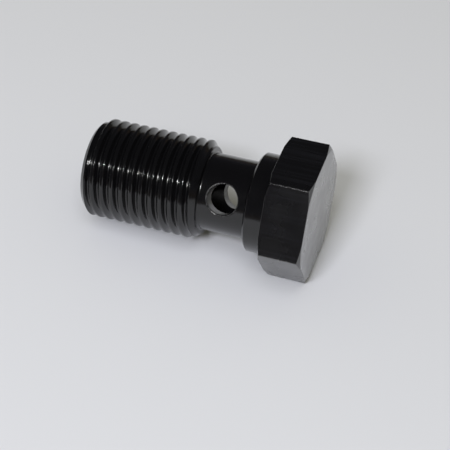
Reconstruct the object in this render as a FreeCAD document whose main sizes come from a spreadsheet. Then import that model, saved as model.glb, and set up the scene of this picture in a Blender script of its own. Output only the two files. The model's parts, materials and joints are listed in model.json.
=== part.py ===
"""Banjo bolt: a hollow, cross-drilled hexagon bolt, lying on its side as it comes to rest.

The bolt is one piece, turned from hexagon bar. Its own axis is X: the thread points to -X, the head to +X,
and x = 0 is the face that bears on the sealing washer. The flat of the head that it rests on faces -Z.
The last step tips the bolt about Y, because it rests on the head and on the end of the thread.
The shank is the blank that the fine thread is cut from, at the diameter of its crests. The grooves are
left to the visual model.
"""

import FreeCAD, Part
import math
import os

import Sketcher

NODE = "banjo_bolt"
OVERSHOOT = 0.5  # how far a cut reaches past the surface that it starts from, mm

# Lengths in mm, angles in degrees.
DIMENSIONS = (
    ("across_flats", 12.0, "hexagon, flat to flat"),
    ("head_height", 4.2, "bearing face to the end of the head"),
    ("outer_chamfer_angle", 18.5, "on the outer end of the hexagon"),
    ("head_face_diameter", 12.45, "circle where the outer chamfer starts"),
    ("bearing_chamfer_angle", 24.0, "on the end of the hexagon beside the washer"),
    ("bearing_face_diameter", 12.45, "circle where the chamfer beside the washer starts"),
    ("shank_length", 18.6, "bearing face to the end of the thread"),
    ("collar_diameter", 9.7, "short full-size collar under the head"),
    ("collar_length", 2.05, "bearing face to the neck"),
    ("collar_chamfer", 0.2, "45 degrees, towards the neck"),
    ("neck_diameter", 7.6, "reduced neck, the oil gallery inside the fitting"),
    ("neck_length", 4.85, "collar to the start of the thread"),
    ("shoulder_chamfer", 0.6, "45 degrees, where the thread runs out over the neck"),
    ("thread_diameter", 9.8, "over the crests of the M10 x 1.0 thread, within its tolerance"),
    ("end_chamfer", 0.6, "45 degrees"),
    ("bore_diameter", 4.6, "blind bore from the end of the thread"),
    ("bore_depth", 15.9, "end of the thread to where the drill point starts"),
    ("bore_mouth_chamfer", 0.3, "45 degrees"),
    ("drill_point_angle", 59.0, "half of the point that the drill leaves"),
    ("cross_hole_diameter", 3.0, "drilled right through the neck"),
    ("cross_hole_place", 4.5, "bearing face to the axis of the cross hole"),
    ("cross_hole_turn", 35.0, "above the horizontal, on the -Y side"),
    ("cross_hole_edge_break", 0.15, "chamfer where the cross hole meets the neck"),
)

# The two ways along the bolt's axis from the bearing face.
TO_HEAD = 1
TO_THREAD = -1

# Radii and places that more than one section shares, as rules on the sheet's cells.
AXIS = "0"
FLAT = "size.across_flats / 2"
MAJOR = "size.thread_diameter / 2"
COLLAR = "size.collar_diameter / 2"
NECK = "size.neck_diameter / 2"
SHOULDER = "(size.collar_length + size.neck_length)"
OUTER_SLOPE = "tan(size.outer_chamfer_angle * 1 deg)"
BEARING_SLOPE = "tan(size.bearing_chamfer_angle * 1 deg)"


def size_sheet(doc):
    """The driving dimensions, one row each: name, value, meaning."""
    sheet = doc.addObject("Spreadsheet::Sheet", "size")
    for row, (alias, value, meaning) in enumerate(DIMENSIONS, start=1):
        sheet.set(f"A{row}", alias.replace("_", " "))
        sheet.set(f"B{row}", str(value))
        sheet.set(f"C{row}", meaning)
        sheet.setAlias(f"B{row}", alias)
    doc.recompute()
    return sheet


def new_sketch(body, name, role):
    """A sketch on one of the body's own origin planes."""
    plane = next(feature for feature in body.Origin.OriginFeatures if feature.Role == role)
    sketch = body.newObject("Sketcher::SketchObject", name)
    sketch.AttachmentSupport = [(plane, "")]
    sketch.MapMode = "FlatFace"
    return sketch


def add_closed_loop(sketch, points):
    """Joins points with lines, end to end."""
    for start, end in zip(points, points[1:] + points[:1]):
        sketch.addGeometry(Part.LineSegment(start, end), False)
    for line in range(len(points)):
        sketch.addConstraint(Sketcher.Constraint("Coincident", line, 2, (line + 1) % len(points), 1))


def tie_radius(sketch, circle, rule):
    radius = sketch.addConstraint(Sketcher.Constraint("Radius", circle, sketch.evalExpression(rule)))
    sketch.setExpression(f"Constraints[{radius}]", rule)


def tie_distance(sketch, kind, element, position, way, rule):
    """Holds a point at the distance from the sketch's origin that a rule gives. A rule of 0 is the axis."""
    if rule == AXIS:
        on_axis = -2 if kind == "DistanceX" else -1
        sketch.addConstraint(Sketcher.Constraint("PointOnObject", element, position, on_axis))
        return
    point = (element, position)
    origin = (-1, 1)
    first, last = (origin, point) if way == TO_HEAD else (point, origin)
    distance = sketch.evalExpression(rule)
    index = sketch.addConstraint(Sketcher.Constraint(kind, *first, *last, distance))
    sketch.setExpression(f"Constraints[{index}]", rule)


def half_section(body, name, corners):
    """A closed profile above the bolt's axis. Each corner is (way along X, rule for X, rule for the radius)."""
    sketch = new_sketch(body, name, "XZ_Plane")
    add_closed_loop(sketch, [
        FreeCAD.Vector(way * sketch.evalExpression(along), sketch.evalExpression(radius), 0)
        for way, along, radius in corners
    ])
    for line, (way, along, radius) in enumerate(corners):
        tie_distance(sketch, "DistanceX", line, 1, way, along)
        tie_distance(sketch, "DistanceY", line, 1, TO_HEAD, radius)
    return sketch


def turn(body, kind, name, corners):
    """A full turn of a half section about the bolt's axis: a Revolution adds it, a Groove cuts it."""
    sketch = half_section(body, f"{name}_section", corners)
    feature = body.newObject(f"PartDesign::{kind}", name)
    feature.Profile = sketch
    feature.ReferenceAxis = (sketch, ["H_Axis"])
    feature.Angle = 360
    return feature


def hexagon_head(body):
    """The bar stock left at full size: a hexagon about a construction circle, with one flat down."""
    sketch = new_sketch(body, "hexagon", "YZ_Plane")
    flat_radius = sketch.evalExpression(FLAT)
    corner_radius = flat_radius / math.cos(math.pi / 6)
    turns = [side * math.pi / 3 for side in range(6)]
    add_closed_loop(sketch, [
        FreeCAD.Vector(corner_radius * math.cos(angle), corner_radius * math.sin(angle), 0) for angle in turns
    ])
    inscribed = Part.Circle(FreeCAD.Vector(), FreeCAD.Vector(0, 0, 1), flat_radius)
    circle = sketch.addGeometry(inscribed, True)
    sketch.addConstraint(Sketcher.Constraint("Coincident", circle, 3, -1, 1))
    for side in range(6):
        sketch.addConstraint(Sketcher.Constraint("Tangent", side, circle))
    for side in range(1, 5):
        sketch.addConstraint(Sketcher.Constraint("Equal", 0, side))
    sketch.addConstraint(Sketcher.Constraint("PointOnObject", 0, 1, -1))
    tie_radius(sketch, circle, FLAT)
    pad = body.newObject("PartDesign::Pad", "hexagon_head")
    pad.Profile = sketch
    pad.setExpression("Length", "size.head_height")


def head_chamfers(body):
    """Both ends of the hexagon are turned to a shallow cone, which rounds the edges of the flats."""
    outside = "size.across_flats * 0.6"  # just past the corners, which lie at 0.577
    face = "size.head_face_diameter / 2"
    bearing = "size.bearing_face_diameter / 2"
    turn(body, "Groove", "outer_chamfer", (
        (TO_HEAD, "size.head_height", face),
        (TO_HEAD, f"size.head_height + {OVERSHOOT}", face),
        (TO_HEAD, f"size.head_height + {OVERSHOOT}", outside),
        (TO_HEAD, f"size.head_height - ({outside} - {face}) * {OUTER_SLOPE}", outside),
    ))
    turn(body, "Groove", "bearing_side_chamfer", (
        (TO_HEAD, AXIS, bearing),
        (TO_THREAD, f"{OVERSHOOT}", bearing),
        (TO_THREAD, f"{OVERSHOOT}", outside),
        (TO_HEAD, f"({outside} - {bearing}) * {BEARING_SLOPE}", outside),
    ))


def turned_shank(body):
    """Everything under the head in one turned section: collar, neck, and the blank for the thread."""
    turn(body, "Revolution", "shank", (
        (TO_THREAD, AXIS, AXIS),
        (TO_THREAD, "size.shank_length", AXIS),
        (TO_THREAD, "size.shank_length", f"{MAJOR} - size.end_chamfer"),
        (TO_THREAD, "size.shank_length - size.end_chamfer", MAJOR),
        (TO_THREAD, f"{SHOULDER} + size.shoulder_chamfer", MAJOR),
        (TO_THREAD, SHOULDER, f"{MAJOR} - size.shoulder_chamfer"),
        (TO_THREAD, SHOULDER, NECK),
        (TO_THREAD, "size.collar_length", NECK),
        (TO_THREAD, "size.collar_length", f"{COLLAR} - size.collar_chamfer"),
        (TO_THREAD, "size.collar_length - size.collar_chamfer", COLLAR),
        (TO_THREAD, AXIS, COLLAR),
    ))


def oil_bore(body):
    """The blind bore from the thread's end, with its mouth eased and a drill point at the bottom."""
    wall = "size.bore_diameter / 2"
    bottom = "(size.shank_length - size.bore_depth)"
    turn(body, "Groove", "oil_bore", (
        (TO_THREAD, f"size.shank_length + {OVERSHOOT}", AXIS),
        (TO_THREAD, f"size.shank_length + {OVERSHOOT}", f"{wall} + size.bore_mouth_chamfer + {OVERSHOOT}"),
        (TO_THREAD, "size.shank_length - size.bore_mouth_chamfer", wall),
        (TO_THREAD, bottom, wall),
        (TO_THREAD, f"{bottom} - {wall} / tan(size.drill_point_angle * 1 deg)", AXIS),
    ))


def cross_hole(body):
    """One hole through both walls of the neck, on the XY plane turned about the bolt's axis."""
    sketch = new_sketch(body, "cross_hole_circle", "XY_Plane")
    about_the_axis = FreeCAD.Rotation(FreeCAD.Vector(1, 0, 0), 0)
    sketch.AttachmentOffset = FreeCAD.Placement(FreeCAD.Vector(), about_the_axis)
    sketch.setExpression("AttachmentOffset.Rotation.Angle", "90 deg - size.cross_hole_turn * 1 deg")
    centre = FreeCAD.Vector(TO_THREAD * sketch.evalExpression("size.cross_hole_place"), 0, 0)
    radius = sketch.evalExpression("size.cross_hole_diameter / 2")
    circle = sketch.addGeometry(Part.Circle(centre, FreeCAD.Vector(0, 0, 1), radius), False)
    sketch.addConstraint(Sketcher.Constraint("PointOnObject", circle, 3, -1))
    tie_distance(sketch, "DistanceX", circle, 3, TO_THREAD, "size.cross_hole_place")
    tie_radius(sketch, circle, "size.cross_hole_diameter / 2")
    pocket = body.newObject("PartDesign::Pocket", "cross_hole")
    pocket.Profile = sketch
    pocket.Type = "ThroughAll"
    pocket.Midplane = True
    return pocket


def cross_hole_rims(doc, sheet, body, pocket):
    """A small chamfer on both outer rims, which are the hole's edges that lie on the neck's surface."""
    doc.recompute()
    neck_radius = float(sheet.neck_diameter) / 2
    hole_radius = float(sheet.cross_hole_diameter) / 2
    hole_centre = TO_THREAD * float(sheet.cross_hole_place)
    near = 0.01

    def is_rim(edge):
        if edge.Degenerated:
            return False
        points = edge.discretize(9)
        on_neck = all(abs(math.hypot(point.y, point.z) - neck_radius) < near for point in points)
        return on_neck and all(abs(point.x - hole_centre) < hole_radius + near for point in points)

    rims = [f"Edge{index}" for index, edge in enumerate(pocket.Shape.Edges, start=1) if is_rim(edge)]
    chamfer = body.newObject("PartDesign::Chamfer", "cross_hole_rims")
    chamfer.Base = (pocket, rims)
    chamfer.setExpression("Size", "size.cross_hole_edge_break")


def lay_down(body):
    """Tips the bolt until the edge of its lower flat and the edge of the end chamfer touch the floor.

    The middle of that edge lies in the bearing face, or past the chamfer if the chamfer cuts the whole edge.
    The origin is the middle of the bottom of the box, so the bolt moves along X and Z by what its ends reach.
    """
    flat_starts = f"(max(0; {FLAT} - size.bearing_face_diameter / 2) * {BEARING_SLOPE})"
    chamfer_starts = "(size.shank_length - size.end_chamfer)"
    tilt = f"atan(({FLAT} - {MAJOR}) / ({chamfer_starts} + {flat_starts}))"
    body.Placement = FreeCAD.Placement(FreeCAD.Vector(), FreeCAD.Rotation(FreeCAD.Vector(0, -1, 0), 0))
    body.setExpression("Placement.Rotation.Angle", tilt)
    thread_end = f"(size.shank_length * cos({tilt}) + ({MAJOR} - size.end_chamfer) * sin({tilt}))"
    head_end = f"(size.head_height * cos({tilt}) + {FLAT} * sin({tilt}))"
    body.setExpression("Placement.Base.x", f"({thread_end} - {head_end}) / 2")
    body.setExpression("Placement.Base.z", f"{FLAT} * cos({tilt}) - {flat_starts} * sin({tilt})")


def check(doc, body):
    """Stops the run if a feature failed or the bolt isn't one sound solid."""
    for item in doc.Objects:
        if {"Invalid", "Error"} & set(item.State):
            raise RuntimeError(f"{item.Name} failed: {item.State}")
    shape = body.Shape
    if shape.isNull() or not shape.isValid() or len(shape.Solids) != 1:
        raise RuntimeError(f"{body.Label} is not one sound solid")


def main():
    doc = FreeCAD.newDocument("banjo_bolt")
    sheet = size_sheet(doc)
    body = doc.addObject("PartDesign::Body", NODE)
    body.Label = NODE
    hexagon_head(body)
    head_chamfers(body)
    turned_shank(body)
    oil_bore(body)
    pocket = cross_hole(body)
    cross_hole_rims(doc, sheet, body, pocket)
    lay_down(body)
    doc.recompute()
    check(doc, body)
    os.makedirs("parts", exist_ok=True)
    body.Shape.exportStep(f"parts/{body.Label}.step")
    print(f"{body.Label}: {body.Shape.Volume:.2f} mm3, {len(body.Shape.Faces)} faces")


main()
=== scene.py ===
# %% [markdown]
# # A banjo bolt in black anodised aluminium
#
# A banjo bolt holds a ring-shaped fitting against a port and lets oil or brake fluid through its own middle.
# It is turned from hexagon bar: a hexagon head, a short collar, a reduced neck with a hole drilled across it,
# and a fine thread. A blind bore runs up from the end of the thread and meets the cross hole.
#
# The frame that this script loads is the bolt at its real size, lying as it comes to rest. Its shape is right
# but plain: every edge is sharp, and its shank is the smooth blank that the thread is cut from. One finer
# skin takes its place here, with the thread, rounded edges and the small radii that tools leave.

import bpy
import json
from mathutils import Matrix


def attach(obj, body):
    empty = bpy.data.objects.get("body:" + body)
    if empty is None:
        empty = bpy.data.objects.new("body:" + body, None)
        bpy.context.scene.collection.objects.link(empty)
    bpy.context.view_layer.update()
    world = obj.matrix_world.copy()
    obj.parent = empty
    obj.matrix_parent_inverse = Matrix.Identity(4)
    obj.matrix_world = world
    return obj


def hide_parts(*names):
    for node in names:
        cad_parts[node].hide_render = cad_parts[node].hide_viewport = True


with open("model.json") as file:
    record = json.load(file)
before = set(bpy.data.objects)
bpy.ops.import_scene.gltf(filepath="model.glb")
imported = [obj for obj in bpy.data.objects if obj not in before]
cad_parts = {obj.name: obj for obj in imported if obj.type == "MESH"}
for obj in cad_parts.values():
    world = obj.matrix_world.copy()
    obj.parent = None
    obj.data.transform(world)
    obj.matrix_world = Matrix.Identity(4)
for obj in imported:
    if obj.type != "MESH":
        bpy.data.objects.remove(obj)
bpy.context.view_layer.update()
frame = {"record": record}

# %% Tools
import json
import math

import bmesh
import bpy
import numpy as np
from mathutils import Matrix, Vector

MM = 0.001
scene = bpy.context.scene
print("Blender", bpy.app.version_string, "with numpy", np.__version__)

# %% [markdown]
# ## The bolt's own frame
#
# The bolt lies tipped by a few degrees, because its head is wider than its thread. Everything on it is
# easier to write in a frame of its own: x along the axis, a radius, and a turn about the axis. The record of
# the frame gives each interface of the bolt with a place and an axis, so the bolt's frame comes from there,
# and the bolt can't drift from the solid it covers. The start of x is the face under the head that presses
# on the washer.

# %% Axes and lengths that the record gives
mounts = {mount["name"]: mount for mount in frame["record"]["mounts"]}
HEADWARD = -np.array(mounts["oil_bore"]["axis"])
SIDEWAYS = np.array([0.0, 1.0, 0.0])
UPWARD = np.cross(HEADWARD, SIDEWAYS)
BEARING_CENTRE = np.array(mounts["bearing_face"]["pos_m"]) * [1, 0, 1]
TILT = math.atan2(HEADWARD[2], HEADWARD[0])


def along(mount):
    """How far a mount's place lies from the bearing face, along the axis, in mm."""
    return float((np.array(mounts[mount]["pos_m"]) - BEARING_CENTRE) @ HEADWARD) / MM


def stated(mount, name):
    """A measure that the record gives for a mount, in mm."""
    return mounts[mount]["dims"][name]


THREAD_RADIUS = stated("thread", "r_mm")
COLLAR_RADIUS = stated("collar", "r_mm")
BORE_RADIUS = stated("oil_bore", "r_mm")
HOLE_RADIUS = stated("cross_hole", "r_mm")
SHOULDER = along("thread") + stated("thread", "length_mm") / 2
THREAD_END = along("thread") - stated("thread", "length_mm") / 2
COLLAR_EDGE = along("collar") - stated("collar", "length_mm") / 2
BORE_BOTTOM = along("oil_bore") + stated("oil_bore", "length_mm") / 2
BORE_MOUTH = along("oil_bore") - stated("oil_bore", "length_mm") / 2
HOLE_PLACE = along("cross_hole")
HEAD_HEIGHT = 2 * along("hex_head")
NECK_RADIUS = math.hypot(HOLE_RADIUS, stated("cross_hole", "length_mm") / 2)
hole_axis = np.array(mounts["cross_hole"]["axis"])
HOLE_TURN = math.atan2(hole_axis @ UPWARD, -hole_axis @ SIDEWAYS)
print(f"tilt {math.degrees(TILT):.3f} deg, shoulder {SHOULDER:.2f}, thread end {THREAD_END:.2f} mm")
print(f"neck radius {NECK_RADIUS:.3f}, head {HEAD_HEIGHT:.2f}, hole at {HOLE_PLACE:.2f} mm, "
      f"turned {math.degrees(HOLE_TURN):.2f} deg")

# %% Sizes that the record doesn't give, in mm
FLAT_RADIUS = 6.0  # half the size of the spanner
CHAMFER_CIRCLE = 6.225  # both chamfers of the head start at this radius
OUTER_SLOPE = math.tan(math.radians(18.5))
BEARING_SLOPE = math.tan(math.radians(24.0))  # on the side of the washer
COLLAR_CHAMFER = 0.2
SHOULDER_CHAMFER = 0.6
END_CHAMFER = 0.6
MOUTH_CHAMFER = 0.3
DRILL_POINT = math.radians(59)  # half the angle of the drill's point
HOLE_EDGE = 0.15  # rounding of the mouths of the cross hole
PITCH = 1.0
FIRST_GROOVE = 0.6  # from the end of the thread, on the upper side
print(f"spanner {2 * FLAT_RADIUS:.0f} mm, thread {2 * THREAD_RADIUS:.1f} mm with a pitch of {PITCH:.1f} mm")

# %% [markdown]
# ## The camera
#
# The camera comes before the shapes, so that every later render can be set against the photograph. Its place
# was found by fitting known lengths of the bolt to what the photograph shows of them, which gives the point
# that it looks at, two angles, a small roll and the distance. Written this way each number can be read: a
# camera about 13 cm away that looks down on the bolt at 44 degrees, with a long lens.

# %% Camera
TARGET = BEARING_CENTRE + (-5.322 * HEADWARD - 4.167 * UPWARD) * MM
DISTANCE = 127.06 * MM
AZIMUTH, ELEVATION, ROLL = np.radians([19.567, 44.100, -0.862])
LENS = 102.51  # mm on a sensor 36 mm wide


def camera_axes():
    """Right, up and forward of the camera, from its azimuth, elevation and roll in the bolt's own frame."""
    bolt_axes = np.array([HEADWARD, SIDEWAYS, UPWARD])
    level = np.array([math.cos(AZIMUTH), math.sin(AZIMUTH), 0])
    forward = np.array([-math.sin(AZIMUTH) * math.cos(ELEVATION), math.cos(AZIMUTH) * math.cos(ELEVATION),
                        -math.sin(ELEVATION)])
    steep = np.cross(level, forward)
    right = level * math.cos(ROLL) + steep * math.sin(ROLL)
    up = steep * math.cos(ROLL) - level * math.sin(ROLL)
    return right @ bolt_axes, up @ bolt_axes, forward @ bolt_axes


right, up, forward = camera_axes()
place = TARGET - forward * DISTANCE
camera = bpy.data.objects.new("camera", bpy.data.cameras.new("camera"))
scene.collection.objects.link(camera)
camera.matrix_world = Matrix([[right[i], up[i], -forward[i], place[i]] for i in range(3)] + [[0, 0, 0, 1]])
camera.data.lens = LENS
camera.data.clip_start = 0.005
scene.camera = camera
print("camera at", np.round(place / MM, 1), "mm")

# %% [markdown]
# ## How the skin is made
#
# The real bolt comes off a lathe, so nearly all of it is a profile turned about the axis. A skin of this
# kind is a table: each row is a ring, each column is a fixed turn about the axis, and three arrays say how
# far along, how far out and how far round each point is. One function turns such a table into points in
# space. Rings that belong to the same edge in two tables land on the same points, so the tables are joined
# by merging doubles.
#
# Screw modifiers and booleans could make the same bolt faster. They leave long thin faces where the thread
# runs out and where the holes meet, and those faces show as creases in a glossy black finish.

# %% Columns round the bolt
COLUMNS = 288
SIXTH = COLUMNS // 6
EVEN = np.arange(COLUMNS) * (2 * math.pi / COLUMNS)
patches = []
print(COLUMNS, "columns, one every", 360 / COLUMNS, "degrees")


def skin_points(x, radius, turn):
    """Centre + x along the axis + radius in the direction that turns from the near side towards the top."""
    x, radius, turn = np.broadcast_arrays(x, radius, turn)
    out = -np.cos(turn)[..., None] * SIDEWAYS + np.sin(turn)[..., None] * UPWARD
    return BEARING_CENTRE + (x[..., None] * HEADWARD + radius[..., None] * out) * MM


def add_patch(x, radius, turn, finish, edge=0.0, closed=True, slanted=False):
    """Keeps a table of points, its finish, and how far each point belongs to a worn edge, from 0 to 1.

    A closed patch joins its last column to its first. A slanted one is cut into triangles along the helix.
    """
    x, radius, turn, edge = np.broadcast_arrays(x, radius, turn, edge)
    patches.append({"points": skin_points(x, radius, turn), "lathe": x + radius, "edge": edge,
                    "finish": finish, "closed": closed, "slanted": slanted})


# %% [markdown]
# ### Rounded profiles
#
# Every turned edge has a small radius: the tool's nose leaves one in each inner corner, and deburring and
# anodising leave one on each outer corner. The profile is given as corners with a radius each, and the helper
# puts an arc into each corner, tangent to both lines. Those arcs are what catches the light.

# %% Rounded profile
ARC_STEPS = 5


def rounded_profile(corners):
    """Rows (x, radius, edge) along a line through corners (x, radius, rounding).

    The arc starts rounding * tan(half the turn) before the corner. Its points are the centre plus the
    rounding in directions spread evenly between the normals of the two lines. The edge's value swells from 0
    to 1 and back as a half sine over the arc of an outer corner, so that the land beside it isn't worn.
    """
    corners = np.array(corners, dtype=float)
    rows = [[*corners[0, :2], 0.0]]
    for before, corner, after in zip(corners, corners[1:], corners[2:]):
        enter = (corner - before)[:2] / np.linalg.norm((corner - before)[:2])
        leave = (after - corner)[:2] / np.linalg.norm((after - corner)[:2])
        turn = math.atan2(enter[0] * leave[1] - enter[1] * leave[0], enter @ leave)
        inwards = np.array([-enter[1], enter[0]]) * math.copysign(1, turn)
        start = corner[:2] - enter * corner[2] * math.tan(abs(turn) / 2)
        swing = np.linspace(0, abs(turn), ARC_STEPS)[:, None]
        arc = start + corner[2] * (inwards * (1 - np.cos(swing)) + enter * np.sin(swing))
        worn = np.sin(math.pi * swing / abs(turn)) * (turn > 0)
        rows += np.hstack([arc, worn]).tolist()
    rows.append([*corners[-1, :2], 0.0])
    x, radius, edge = np.array(rows).T
    return x[:, None], radius[:, None], edge[:, None]


one_corner = rounded_profile([(0, 0, 0), (0, 1, 0.1), (1, 1, 0)])
print("a profile with one rounded corner has", len(one_corner[0]), "rings")

# %% [markdown]
# ## The hexagon head
#
# The head is the bar itself, with both ends turned to a shallow cone. A cone through a hexagon leaves a
# curved edge on each flat, highest at the corners. As a table this is simple: at each turn about the axis the
# flat lies at a known radius, and the height of the cone is a function of the radius, so the curved edge
# comes by itself.
#
# The corners between the flats have a radius of only about a tenth of a millimetre. Evenly spaced columns
# would miss it, so the columns crowd towards the corners and go back to even spacing in the flat face under
# the head, where moving them sideways changes nothing.
#
# The outer end is cut into two tables at the cone's circle. The photograph shows its flat face paler than its
# cone, so each has a finish of its own.

# %% Head: radius of the flats, heights of the two ends
CORNER_ROUNDING = 0.12
EDGE_ROUNDING = 0.06
CREASE = 0.05  # half the width of the soft line where face and cone meet
CROWDING = 4.5  # how strongly the columns gather at the corners


def crowded_turns():
    """In each half sixth the angle from the corner grows as a hyperbolic sine, from 0 to 30 degrees."""
    step = np.arange(COLUMNS) % SIXTH
    from_corner = np.minimum(step, SIXTH - step) / (SIXTH / 2)
    angle = math.radians(30) * np.sinh(CROWDING * from_corner) / math.sinh(CROWDING)
    corner = np.round((np.arange(COLUMNS) - step) / SIXTH) * math.radians(60)
    return corner + np.where(step <= SIXTH / 2, angle, math.radians(60) - angle)


def flat_radius(turn):
    """Distance to the flats: apothem / cos(angle from a flat's middle), and near a corner the rounding's."""
    from_corner = np.abs((turn + math.radians(30)) % math.radians(60) - math.radians(30))
    flat = FLAT_RADIUS / np.cos(math.radians(30) - from_corner)
    centre = (FLAT_RADIUS - CORNER_ROUNDING) / math.cos(math.radians(30))
    under = CORNER_ROUNDING ** 2 - (centre * np.sin(from_corner)) ** 2
    corner = centre * np.cos(from_corner) + np.sqrt(np.maximum(under, 0))
    tangent = math.radians(30) - math.atan(math.tan(math.radians(30)) * (1 - CORNER_ROUNDING / FLAT_RADIUS))
    return np.where(from_corner < tangent, corner, flat)


def cone_drop(beyond):
    """Drop of a cone with a slope of 1 at a distance beyond its circle. A short parabola eases the crease."""
    eased = (beyond + CREASE) ** 2 / (4 * CREASE)
    return np.where(beyond < -CREASE, 0, np.where(beyond > CREASE, beyond, eased))


HEX = crowded_turns()
FLATS = flat_radius(HEX)
print(f"head: {FLATS.min() * 2:.2f} mm over flats, {FLATS.max() * 2:.2f} mm over its rounded corners")

# %% Head: one end, from its middle out to the flats
SPREAD = np.array([0.0, 0.15, 0.35, 0.55, 0.75, 0.9, 1.0])[:, None]
CROSSING = np.linspace(-1, 1, 5)[1:, None]
CONE_ROWS = np.linspace(0, 1, 5)[1:, None]
QUARTER = np.radians(np.linspace(0, 90, 6))[1:, None]
rim = FLATS - EDGE_ROUNDING


def end_rows(inner, slope):
    """Radii and drops of one end, from the radius inner to the flats, and which rows are the worn edge.

    The rows spread over the flat face, cross the crease at the circle, climb the cone and round the edge.
    """
    face = np.minimum(inner + (CHAMFER_CIRCLE - CREASE - inner) * SPREAD, rim)
    crease = np.minimum(CHAMFER_CIRCLE + CREASE * CROSSING, rim)
    cone = crease[-1] + (rim - crease[-1]) * CONE_ROWS
    radius = np.concatenate([face, crease, cone, rim + EDGE_ROUNDING * np.sin(QUARTER)])
    fall = slope * cone_drop(np.concatenate([face, crease, cone]) - CHAMFER_CIRCLE)
    drop = np.concatenate([fall, fall[-1] + EDGE_ROUNDING * (1 - np.cos(QUARTER))])
    worn = np.zeros(radius.shape)
    worn[-len(QUARTER) - 1:] = np.sin(np.linspace(0, math.pi, len(QUARTER) + 1))[:, None] ** 0.5
    return radius, drop, worn


print("one end of the head:", len(end_rows(0.0, OUTER_SLOPE)[0]), "rings from its middle to the flats")

# %% Head: both ends
HEAD_MARGIN = 0.5  # from the collar out to the first ring of the head
ANNULUS = COLLAR_RADIUS + HEAD_MARGIN
outer_radius, outer_drop, outer_worn = end_rows(0.0, OUTER_SLOPE)
under_radius, under_drop, under_worn = end_rows(ANNULUS, BEARING_SLOPE)
LAST_FACE_ROW = len(SPREAD) + len(CROSSING) - 1
face_rows, cone_rows = slice(LAST_FACE_ROW + 1), slice(LAST_FACE_ROW, None)
for rows, finish in ((face_rows, "face"), (cone_rows, "turned")):
    add_patch(HEAD_HEIGHT - outer_drop[rows], outer_radius[rows], HEX, finish, outer_worn[rows])
add_patch(under_drop[::-1], under_radius[::-1], HEX, "turned", under_worn[::-1])
print(f"drop at the corners: {outer_drop.max():.2f} mm outside, {under_drop.max():.2f} mm under the head")

# %% Head: the flats
FLAT_ROWS = np.linspace(0, 1, 7)[:, None]
CORNER_FADE = 0.02  # mm inside the corner at which the wear has mostly gone
corner_wear = np.exp(-((FLATS.max() - FLATS) / CORNER_FADE) ** 2)
outer_edge = HEAD_HEIGHT - outer_drop[-1]
under_edge = under_drop[-1]
add_patch(outer_edge + (under_edge - outer_edge) * FLAT_ROWS, FLATS, HEX, "flat", corner_wear)
print(f"flats: {(outer_edge - under_edge).max():.2f} mm high in the middle")

# %% [markdown]
# ## Collar and shoulder
#
# Under the head a short collar centres the sealing washer. Beyond it the neck is reduced, so that fluid can
# run round it inside the ring fitting. The table's first ring here still has the head's crowded columns, and
# its second has the even ones, in the same flat face.

# %% Collar
ROOT = 0.15  # radius in an inner corner
BROKEN_EDGE = 0.05  # radius on an outer corner
COLLAR_MARGIN = 0.3  # from the collar out to the first ring with even columns
NECK_MARGIN = 0.3  # length of neck that belongs to the table beside it, at each end
NECK_TOP = COLLAR_EDGE - COLLAR_CHAMFER - NECK_MARGIN
NECK_FOOT = SHOULDER + NECK_MARGIN
EVEN_RING = COLLAR_RADIUS + COLLAR_MARGIN

add_patch(np.zeros((2, 1)), np.array([[ANNULUS], [EVEN_RING]]), np.array([HEX, EVEN]), "turned")
collar = rounded_profile([
    (0, EVEN_RING, 0),
    (0, COLLAR_RADIUS, ROOT / 2),
    (COLLAR_EDGE, COLLAR_RADIUS, BROKEN_EDGE),
    (COLLAR_EDGE - COLLAR_CHAMFER, COLLAR_RADIUS - COLLAR_CHAMFER, BROKEN_EDGE),
    (COLLAR_EDGE - COLLAR_CHAMFER, NECK_RADIUS, ROOT),
    (NECK_TOP, NECK_RADIUS, 0),
])
add_patch(collar[0], collar[1], EVEN, "turned", collar[2])
print("collar profile:", len(collar[0]), "rings")

# %% [markdown]
# ## The thread
#
# A thread isn't a stack of rings: its crest climbs by one pitch in each turn. If the rows were rings, every
# crest would cross them and look like a saw. Here the rows follow the helix, so one row is the crest all the
# way along, one is the root, and others lie where the rounding of crest and root begins.
#
# The section is the standard one for a metric thread of 10 mm, with flanks at 60 degrees to each other and a
# root arc with a radius of 0.144 pitch. This bolt is built at 9.8 mm over the crests, within the thread's
# tolerance, and at that height the flat on the crest is wider than on the drawing. The photograph shows a
# pair of bright dots on every crest, so both edges of the flat are rounded here. Their radius is an estimate.
#
# The blank that the thread is cut from has a chamfer at each end, and there the blank is lower than the
# crest. So the radius is the lesser of the blank's and the thread's. Rows past an end are clamped to it and
# fall together, which lets the thread run out over the neck as a cut one does.

# %% Thread section
FLANK = math.tan(math.radians(30))
NOMINAL_RADIUS = 5.0
CREST_HALF = PITCH / 16 + (NOMINAL_RADIUS - THREAD_RADIUS) * FLANK  # half of the flat on the crest
CREST_CORNER = 0.05  # radius on both edges of that flat
ROOT_ARC = 0.1443 * PITCH
ROUNDED = math.cos(math.radians(30))  # both arcs end at this share of their radius
FLAT_END = CREST_HALF - CREST_CORNER * FLANK
CORNER_END = FLAT_END + CREST_CORNER * ROUNDED
ROOT_START = PITCH / 2 - ROOT_ARC * ROUNDED
ROOT_CENTRE = (PITCH / 2 - CREST_HALF) / FLANK - 2 * ROOT_ARC


def thread_depth(from_crest):
    """Depth below the crest: flat, then the arc of its corner, the straight flank and the arc of the root."""
    past_flat = np.maximum(from_crest - FLAT_END, 0)
    corner = CREST_CORNER - np.sqrt(np.maximum(CREST_CORNER ** 2 - past_flat ** 2, 0))
    flank = (from_crest - CREST_HALF) / FLANK
    root = ROOT_CENTRE + np.sqrt(np.maximum(ROOT_ARC ** 2 - (PITCH / 2 - from_crest) ** 2, 0))
    return np.where(from_crest < CORNER_END, corner, np.where(from_crest > ROOT_START, root, flank))


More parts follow.
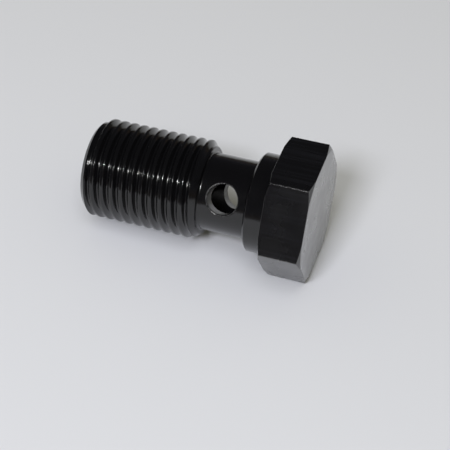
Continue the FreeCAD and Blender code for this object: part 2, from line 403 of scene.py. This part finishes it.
def blank_radius(x):
    """The turned blank: full diameter between two chamfers at 45 degrees."""
    from_shoulder = THREAD_RADIUS - SHOULDER_CHAMFER + (SHOULDER - x)
    from_end = THREAD_RADIUS - END_CHAMFER + (x - THREAD_END)
    return np.minimum(THREAD_RADIUS, np.minimum(from_shoulder, from_end))


def crest_place(turn):
    """A right-hand crest moves away from the head by one pitch for each turn.

    On the bolt's upper side it lies half a pitch beyond the first groove.
    """
    return THREAD_END + FIRST_GROOVE + PITCH / 2 - PITCH * (turn - math.pi / 2) / (2 * math.pi)


def thread_radius(x, turn):
    """The crests' radius less the depth at this distance from the nearest crest, but at most the blank's."""
    from_crest = np.abs((x - crest_place(turn) + PITCH / 2) % PITCH - PITCH / 2)
    return np.minimum(blank_radius(x), THREAD_RADIUS - thread_depth(from_crest))


print(f"thread: depth {thread_depth(np.array(PITCH / 2)):.3f} mm, flat of the crest {2 * CREST_HALF:.3f} mm")

# %% Thread rows along the helix
TURNS_HEADWARD = 14  # whole turns of rows on each side of the first crest, enough to pass both ends
TURNS_ENDWARD = 2

half_section = np.array([FLAT_END, (FLAT_END + CORNER_END) / 2, CORNER_END, ROOT_START,
                         (ROOT_START + PITCH / 2) / 2])
one_turn = np.concatenate([-half_section[::-1], [0], half_section, [PITCH / 2]])
turns = np.arange(TURNS_HEADWARD, -TURNS_ENDWARD - 1, -1) * PITCH
offsets = (turns[:, None] + one_turn[::-1]).ravel()[:, None]
helix_columns = np.append(EVEN, 2 * math.pi)
x = np.clip(crest_place(helix_columns) + offsets, THREAD_END, SHOULDER)

for feature in (SHOULDER - SHOULDER_CHAMFER, THREAD_END + END_CHAMFER):
    nearest = np.abs(x - feature).argmin(axis=0)[None]
    np.put_along_axis(x, nearest, feature, axis=0)

radius = thread_radius(x, helix_columns)
add_patch(x, radius, helix_columns, "thread", closed=False, slanted=True)
print("thread grid:", x.shape)

# %% Shoulder, end face and mouth of the bore
BORE_MARGIN = 0.9  # length of bore from the cross hole to the end of the table round it
END_MARGIN = 0.2  # from the chamfer of the mouth out to the ring that two tables share
BEFORE_PATCH = HOLE_PLACE - HOLE_RADIUS - BORE_MARGIN

neck_root = rounded_profile([(NECK_FOOT, NECK_RADIUS, 0), (SHOULDER, NECK_RADIUS, ROOT),
                             (SHOULDER, NECK_RADIUS + 2 * ROOT, 0)])
add_patch(neck_root[0], neck_root[1], EVEN, "turned")
shoulder_rim = thread_radius(SHOULDER, EVEN)
add_patch(SHOULDER, np.stack([np.full(COLUMNS, NECK_RADIUS + 2 * ROOT), shoulder_rim]), EVEN, "turned")

end_ring = BORE_RADIUS + MOUTH_CHAMFER + END_MARGIN
add_patch(THREAD_END, np.stack([thread_radius(THREAD_END, EVEN), np.full(COLUMNS, end_ring)]), EVEN, "turned")
mouth = rounded_profile([(THREAD_END, end_ring, 0), (THREAD_END, BORE_RADIUS + MOUTH_CHAMFER, BROKEN_EDGE),
                         (BORE_MOUTH, BORE_RADIUS, BROKEN_EDGE), (BEFORE_PATCH, BORE_RADIUS, 0)])
add_patch(mouth[0], mouth[1], EVEN, "bore", mouth[2])
drill_tip = BORE_BOTTOM + BORE_RADIUS / math.tan(DRILL_POINT)
add_patch(np.array([[BORE_BOTTOM], [drill_tip]]), np.array([[BORE_RADIUS], [0.0]]), EVEN, "bore")
print(f"bore: {BORE_BOTTOM - THREAD_END:.2f} mm deep, {drill_tip - BORE_BOTTOM:.2f} mm of drill point beyond")

# %% [markdown]
# ## The neck and its cross hole
#
# A drill has gone right through the neck and into the bore. Each mouth is a circle seen along the drill, and
# a saddle-shaped curve on the round neck. Half of the neck around one mouth is one table: its first row is
# the rim of the hole, its last row is the border of the half neck, and the rows between blend from one to the
# other. The blend is done on the unrolled cylinder, so every point still lies on the neck. The wall of the
# hole and the half of the bore behind it are tables with the same columns.

# %% Drilled half cylinder
SEAM_STEPS = 24
HALF = COLUMNS // 2


def border(x_head_side, x_thread_side, middle):
    """Places and turns along the border of a half cylinder: across, down the seam, back, up the seam."""
    across = middle + (np.arange(HALF) / HALF - 0.5) * math.pi
    down = np.arange(SEAM_STEPS) / SEAM_STEPS
    low, high = middle - math.pi / 2, middle + math.pi / 2
    x = np.concatenate([np.full(HALF, x_head_side), x_head_side + (x_thread_side - x_head_side) * down,
                        np.full(HALF, x_thread_side), x_thread_side + (x_head_side - x_thread_side) * down])
    turn = np.concatenate([across, np.full(SEAM_STEPS, high), across[::-1] + math.pi / HALF,
                           np.full(SEAM_STEPS, low)])
    return x, turn


count = 2 * (HALF + SEAM_STEPS)
round_the_hole = (np.arange(count) - HALF / 2) * (2 * math.pi / count)


def drilled(drill_radius, height, middle):
    """Place, radius and turn of a ring about the drill, at a height above the bolt's axis."""
    aside = drill_radius * np.sin(round_the_hole)
    return (HOLE_PLACE + drill_radius * np.cos(round_the_hole), np.hypot(aside, height),
            middle + np.arctan2(aside, height))


def on_cylinder(cylinder_radius, drill_radius):
    """Height at which a ring about the drill meets a cylinder: the root of R squared less aside squared."""
    return np.sqrt(cylinder_radius ** 2 - (drill_radius * np.sin(round_the_hole)) ** 2)


saddle = np.ptp(on_cylinder(NECK_RADIUS, HOLE_RADIUS + HOLE_EDGE))
print(f"mouth of the cross hole: {count} points, its saddle {saddle:.2f} mm deep")

# %% Cross hole
NECK_BLEND = np.linspace(0, 1, 13)[:, None] ** 1.5
BORE_BLEND = np.linspace(0, 1, 7)[:, None]
WALL_ROWS = np.linspace(0, 1, 8)[:, None]
BREAK_ROWS = np.radians(np.linspace(0, 90, 6))[:, None]


def add_drilled_half(middle):
    """The half neck round one mouth, the mouth's rounded edge, the hole's wall and the bore behind it."""
    mouth_radius = HOLE_RADIUS + HOLE_EDGE
    rim_x, _, rim_turn = drilled(mouth_radius, on_cylinder(NECK_RADIUS, mouth_radius), middle)
    x, turn = border(NECK_TOP, NECK_FOOT, middle)
    add_patch(rim_x + (x - rim_x) * NECK_BLEND, NECK_RADIUS, rim_turn + (turn - rim_turn) * NECK_BLEND,
              "turned")

    edge_radius = HOLE_RADIUS + HOLE_EDGE * (1 - np.sin(BREAK_ROWS))
    edge_height = on_cylinder(NECK_RADIUS, edge_radius) - HOLE_EDGE * (1 - np.cos(BREAK_ROWS))
    add_patch(*drilled(edge_radius, edge_height, middle), "bore", np.sin(2 * BREAK_ROWS) ** 2)

    inner_height = on_cylinder(BORE_RADIUS, HOLE_RADIUS)
    height = edge_height[-1] + (inner_height - edge_height[-1]) * WALL_ROWS
    add_patch(*drilled(HOLE_RADIUS, height, middle), "bore")

    inner_x, _, inner_turn = drilled(HOLE_RADIUS, inner_height, middle)
    x, turn = border(BORE_BOTTOM, BEFORE_PATCH, middle)
    add_patch(inner_x + (x - inner_x) * BORE_BLEND, BORE_RADIUS,
              inner_turn + (turn - inner_turn) * BORE_BLEND, "bore")


for middle in (HOLE_TURN, HOLE_TURN + math.pi):
    add_drilled_half(middle)
print("tables:", len(patches))

# %% [markdown]
# ## One closed mesh
#
# Each table gives a grid of faces between neighbouring rows and columns. The grids are put into one mesh,
# points that lie within a tenth of a micrometre of each other are merged, and what has collapsed to a line
# goes. The result has to be one closed skin, so the cell counts the edges that don't have two faces and
# prints the volume.

# %% Join the tables
FINISHES = ("face", "flat", "turned", "thread", "bore")


def grid_faces(rows, columns, closed, slanted, start):
    """Corner numbers of a grid's faces, as quads, or as triangles cut from lower left to upper right."""
    number = start + np.arange(rows * columns).reshape(rows, columns)
    if closed:
        number = np.concatenate([number, number[:, :1]], axis=1)
    corners = np.stack([number[:-1, :-1], number[:-1, 1:], number[1:, 1:], number[1:, :-1]], axis=-1)
    corners = corners.reshape(-1, 4)
    if slanted:
        return np.concatenate([corners[:, [0, 1, 3]], corners[:, [1, 2, 3]]])
    return corners


points, faces, finish, lathe, edge = [], [], [], [], []
start = 0
for patch in patches:
    rows, columns = patch["points"].shape[:2]
    new_faces = grid_faces(rows, columns, patch["closed"], patch["slanted"], start)
    points.append(patch["points"].reshape(-1, 3))
    lathe.append(patch["lathe"].ravel())
    edge.append(patch["edge"].ravel())
    faces += new_faces.tolist()
    finish += [FINISHES.index(patch["finish"])] * len(new_faces)
    start += rows * columns

skin = bpy.data.meshes.new("bolt_skin")
skin.from_pydata(np.concatenate(points), [], faces)
skin.attributes.new("lathe", "FLOAT", "POINT").data.foreach_set("value", np.concatenate(lathe))
skin.attributes.new("edge", "FLOAT", "POINT").data.foreach_set("value", np.concatenate(edge))
skin.polygons.foreach_set("material_index", finish)
print("before merging:", len(skin.vertices), "points,", len(skin.polygons), "faces")

# %% Merge, turn outwards, measure
SAME_POINT = 1e-7  # m
SHARP = math.radians(32)  # an edge that turns by more than this stays sharp

work = bmesh.new()
work.from_mesh(skin)
bmesh.ops.remove_doubles(work, verts=work.verts, dist=SAME_POINT)
bmesh.ops.dissolve_degenerate(work, edges=work.edges, dist=SAME_POINT)
bmesh.ops.recalc_face_normals(work, faces=work.faces)
open_edges = sum(1 for item in work.edges if len(item.link_faces) != 2)
volume = work.calc_volume(signed=True) / MM ** 3
work.to_mesh(skin)
work.free()
skin.polygons.foreach_set("use_smooth", np.ones(len(skin.polygons), dtype=bool))
skin.set_sharp_from_angle(angle=SHARP)
skin.calc_loop_triangles()
print(f"skin: {len(skin.loop_triangles)} triangles, {open_edges} open edges, {volume:.1f} mm3")

# %% The bolt
bolt = bpy.data.objects.new("bolt", skin)
scene.collection.objects.link(bolt)
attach(bolt, "root")
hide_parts("banjo_bolt")
print("bolt:", len(skin.vertices), "points after merging")

# %% [markdown]
# ## Black anodised aluminium
#
# Anodising grows a hard clear layer of oxide, and a black dye soaks into it. So the metal doesn't show: the
# surface is nearly black, with a clear reflection on top, like dark glass. What tells the parts of the bolt
# apart is the cutting under the layer. A lathe leaves fine rings, the bar's flats keep lines along the bar,
# and at sharp edges the layer is thin, so they look grey and sparkle.
#
# One function makes all the finishes. The rings come from a value that each point carries, its place along
# the axis plus its radius, which is the same all the way round on anything turned. The lines on the flats
# come from a noise stretched along the bolt, with a Mapping node that takes out the tilt. The photograph
# shows neither rings nor lines on the end face, so it has only a faint grain, and the thickest clear layer.

# %% Node helpers
def add_node(tree, kind, **settings):
    """A node with its inputs and properties set by name."""
    node = tree.nodes.new(kind)
    for name, value in settings.items():
        if name in node.inputs:
            node.inputs[name].default_value = value
        else:
            setattr(node, name, value)
    return node


def ramp(tree, source, low, high, bottom, top):
    """Maps source from low..high to bottom..top, held at both ends."""
    node = add_node(tree, "ShaderNodeMapRange", interpolation_type="SMOOTHSTEP")
    for name, value in (("From Min", low), ("From Max", high), ("To Min", bottom), ("To Max", top)):
        node.inputs[name].default_value = value
    tree.links.new(source, node.inputs["Value"])
    return node.outputs["Result"]


def noise(tree, source, scale, detail, roughness=0.5, socket="Vector", dimensions="3D"):
    """A noise between 0 and 1, read at source, which goes into the socket named."""
    node = add_node(tree, "ShaderNodeTexNoise", noise_dimensions=dimensions, Scale=scale, Detail=detail,
                    Roughness=roughness)
    tree.links.new(source, node.inputs[socket])
    return node.outputs["Fac"]


# %% Rings, lines, worn edges and bumps
LINES_PER_METRE = (40, 4600, 4600)  # drawn out along the bar, fine across it


def ring_height(tree, ring_size):
    """Turning rings: a noise in one dimension, along the value that stays the same all the way round."""
    lathe_value = add_node(tree, "ShaderNodeAttribute", attribute_name="lathe")
    return noise(tree, lathe_value.outputs["Fac"], 1 / ring_size, 4, 0.7, socket="W", dimensions="1D")


def line_height(tree, position):
    """Lines along the bar: the position is turned level, then scaled unevenly, which draws the noise out."""
    level = add_node(tree, "ShaderNodeMapping", vector_type="POINT")
    level.inputs["Rotation"].default_value = (0, TILT, 0)
    tree.links.new(position, level.inputs["Vector"])
    stretch = add_node(tree, "ShaderNodeMapping", vector_type="POINT")
    stretch.inputs["Scale"].default_value = LINES_PER_METRE
    tree.links.new(level.outputs["Vector"], stretch.inputs["Vector"])
    return noise(tree, stretch.outputs["Vector"], 1, 5, 0.65)


def thinning(tree, grain, worn):
    """How thin the layer is: the point's edge value times a patchy grain, scaled to worn at most."""
    edge_value = add_node(tree, "ShaderNodeAttribute", attribute_name="edge")
    patchy = add_node(tree, "ShaderNodeMath", operation="MULTIPLY")
    tree.links.new(edge_value.outputs["Fac"], patchy.inputs[0])
    tree.links.new(ramp(tree, grain, 0.42, 0.66, 0.12, 1.0), patchy.inputs[1])
    return ramp(tree, patchy.outputs["Value"], 0.1, 1.0, 0.0, worn)


def bumps(tree, heights):
    """Bumps on top of one another, from pairs of a height between 0 and 1 and its depth in mm."""
    normal = None
    for height, depth in heights:
        bump = add_node(tree, "ShaderNodeBump", Distance=depth * MM)
        tree.links.new(height, bump.inputs["Height"])
        if normal:
            tree.links.new(normal, bump.inputs["Normal"])
        normal = bump.outputs["Normal"]
    return normal


print(f"lines on the flats: about {LINES_PER_METRE[1] * MM:.1f} to a mm across the bar")

# %% Anodised finish
BLACK = (0.003, 0.0029, 0.0032, 1)
PALER_LINE = (0.0072, 0.0072, 0.0085, 1)
THIN_LAYER = (0.34, 0.335, 0.33, 1)
GRAINS_PER_METRE = 9000
CLOUDS_PER_METRE = 420


def anodised(name, roughness, ring_size=0.1, ring_depth=0.0, line_depth=0.0, grain_depth=0.0002, worn=0.0,
             clear_layer=0.3):
    """Black anodised metal. ring_size is the width of a turning ring in mm, depths are bump heights in mm.

    clear_layer is how much of the sealed, undyed skin lies on top, from 0 to 1. It mirrors at grazing angles.
    """
    material = bpy.data.materials.new(name)
    material.use_nodes = True
    tree = material.node_tree
    shader = tree.nodes["Principled BSDF"]
    shader.inputs["IOR"].default_value = 1.5
    shader.inputs["Coat Weight"].default_value = clear_layer
    shader.inputs["Coat Roughness"].default_value = roughness * 0.8
    shader.inputs["Coat IOR"].default_value = 1.5

    position = add_node(tree, "ShaderNodeTexCoord").outputs["Object"]
    grain = noise(tree, position, GRAINS_PER_METRE, 3)
    clouds = noise(tree, position, CLOUDS_PER_METRE, 3)
    wear = thinning(tree, grain, worn)
    colour = add_node(tree, "ShaderNodeMix", data_type="RGBA")
    colour.inputs["A"].default_value = BLACK
    colour.inputs["B"].default_value = THIN_LAYER
    heights = [(grain, grain_depth)]
    if line_depth:
        lines = line_height(tree, position)
        heights.insert(0, (lines, line_depth))
        dye = add_node(tree, "ShaderNodeMix", data_type="RGBA")
        dye.inputs["A"].default_value = BLACK
        dye.inputs["B"].default_value = PALER_LINE
        tree.links.new(ramp(tree, lines, 0.5, 0.62, 0.0, 1.0), dye.inputs["Factor"])
        tree.links.new(dye.outputs["Result"], colour.inputs["A"])
    if ring_depth:
        heights.insert(0, (ring_height(tree, ring_size), ring_depth))
    normal = bumps(tree, heights)

    tree.links.new(wear, colour.inputs["Factor"])
    tree.links.new(wear, shader.inputs["Metallic"])
    tree.links.new(colour.outputs["Result"], shader.inputs["Base Color"])
    tree.links.new(ramp(tree, clouds, 0.3, 0.7, roughness * 0.85, roughness * 1.15),
                   shader.inputs["Roughness"])
    tree.links.new(normal, shader.inputs["Normal"])
    tree.links.new(normal, shader.inputs["Coat Normal"])
    return material


print(f"grain: about {GRAINS_PER_METRE * MM:.0f} to a mm")
print(f"clouds: about {1 / (CLOUDS_PER_METRE * MM):.1f} mm wide")

# %% The five finishes
finishes = {
    "face": anodised("anodised_end_face", 0.3, grain_depth=0.00005, worn=0.5, clear_layer=1.0),
    "flat": anodised("anodised_flats", 0.26, line_depth=0.006, worn=0.9, clear_layer=0.5),
    "turned": anodised("anodised_turned", 0.18, 0.07, 0.0005, worn=0.15),
    "thread": anodised("anodised_thread", 0.15, 0.05, 0.0001, grain_depth=0.00006),
    "bore": anodised("anodised_bore", 0.28, 0.1, 0.0012, worn=0.9),
}
for name in FINISHES:
    skin.materials.append(finishes[name])
print("finishes:", [material.name for material in skin.materials])

# %% [markdown]
# ## Floor, backdrop and lamps
#
# Black gloss has hardly any colour of its own. What the eye reads as its shape is what it mirrors: the pale
# floor in everything that faces down, and the dim room in what faces up. So the room matters more than the
# lamps. The floor is a plain pale sheet. The world is pale for the camera and for what lights the floor, and
# dim for reflections, with a slightly warmer band above the horizon. Two soft boxes light the floor and give
# the bolt its soft shadow, and neither is mirrored in it. A small lamp is, as the row of dots on the crests.

# %% Floor
FLOOR_HALF = 0.7
FLOOR_COLOUR = (0.68, 0.68, 0.69, 1)

sheet = bpy.data.meshes.new("floor")
sheet.from_pydata([(-FLOOR_HALF, -FLOOR_HALF, 0), (FLOOR_HALF, -FLOOR_HALF, 0), (FLOOR_HALF, FLOOR_HALF, 0),
                   (-FLOOR_HALF, FLOOR_HALF, 0)], [], [(0, 1, 2, 3)])
floor = bpy.data.objects.new("floor", sheet)
scene.collection.objects.link(floor)
paper = bpy.data.materials.new("pale_paper")
paper.use_nodes = True
paper.node_tree.nodes["Principled BSDF"].inputs["Base Color"].default_value = FLOOR_COLOUR
paper.node_tree.nodes["Principled BSDF"].inputs["Roughness"].default_value = 0.8
paper.node_tree.nodes["Principled BSDF"].inputs["Specular IOR Level"].default_value = 0.1
sheet.materials.append(paper)
print(f"floor: {2 * FLOOR_HALF:.1f} m square")

# %% World
ROOM_LIGHT = (0.32, 0.315, 0.255, 1)  # what lights the floor from all sides, slightly warm
BACKDROP = (0.64, 0.64, 0.65, 1)
ROOM_BANDS = {
    0.0: (0.035, 0.03, 0.026),
    0.08: (0.095, 0.07, 0.052),
    0.2: (0.06, 0.06, 0.072),
    0.42: (0.035, 0.035, 0.04),
    1.0: (0.02, 0.02, 0.022),
}

world = bpy.data.worlds.new("room")
scene.world = world
world.use_nodes = True
world.cycles.sampling_method = "NONE"  # so that the room is met only by rays that know their kind
tree = world.node_tree
background = tree.nodes["Background"]
background.inputs["Strength"].default_value = 1
rays = add_node(tree, "ShaderNodeLightPath")
direction = add_node(tree, "ShaderNodeTexCoord")
split = add_node(tree, "ShaderNodeSeparateXYZ")
tree.links.new(direction.outputs["Generated"], split.inputs["Vector"])
band = add_node(tree, "ShaderNodeValToRGB")
stops = band.color_ramp.elements
for stop, (height, colour) in zip([stops[0], *[stops.new(h) for h in list(ROOM_BANDS)[1:-1]], stops[-1]],
                                  ROOM_BANDS.items()):
    stop.position = height
    stop.color = (*colour, 1)
tree.links.new(split.outputs["Z"], band.inputs["Fac"])
seen = add_node(tree, "ShaderNodeMix", data_type="RGBA")
seen.inputs["B"].default_value = BACKDROP
lit = add_node(tree, "ShaderNodeMix", data_type="RGBA")
lit.inputs["B"].default_value = ROOM_LIGHT
tree.links.new(rays.outputs["Is Diffuse Ray"], lit.inputs["Factor"])
tree.links.new(band.outputs["Color"], lit.inputs["A"])
tree.links.new(rays.outputs["Is Camera Ray"], seen.inputs["Factor"])
tree.links.new(lit.outputs["Result"], seen.inputs["A"])
tree.links.new(seen.outputs["Result"], background.inputs["Color"])
print("room bands at heights", [round(stop.position, 2) for stop in stops])

# %% Lamps
def add_lamp(name, kind, place, energy, size, colour=(1, 1, 1), mirrored=False):
    """A lamp at a place in mm from the bearing face, aimed at the middle of the bolt.

    A mirrored lamp is there for its reflection alone. The others light the scene and show in no reflection.
    """
    data = bpy.data.lights.new(name, kind)
    data.energy = energy
    data.color = colour
    if kind == "AREA":
        data.size = size * MM
    else:
        data.shadow_soft_size = size * MM
    lamp = bpy.data.objects.new(name, data)
    scene.collection.objects.link(lamp)
    lamp.visible_glossy = mirrored
    lamp.visible_diffuse = not mirrored
    lamp.location = Vector(BEARING_CENTRE) + Vector(place) * MM
    lamp.rotation_euler = (Vector(TARGET) - lamp.location).to_track_quat("-Z", "Y").to_euler()
    return lamp


DAYLIGHT = (0.88, 0.9, 1.0)
add_lamp("soft_box", "AREA", (-45, -250, 260), 0.9, 80, DAYLIGHT)
add_lamp("high_box", "AREA", (30, -160, 380), 0.53, 200, DAYLIGHT)
add_lamp("small_lamp", "POINT", (30, -110, 132), 0.9, 3.5, mirrored=True)
print("lamps:", [light.name for light in bpy.data.lights])

# %% [markdown]
# ## Last setting
#
# The new skin has to stay inside the frame's box, since the sizes come from there. The render uses the
# standard view transform.

# %% View transform
scene.view_settings.view_transform = "Standard"
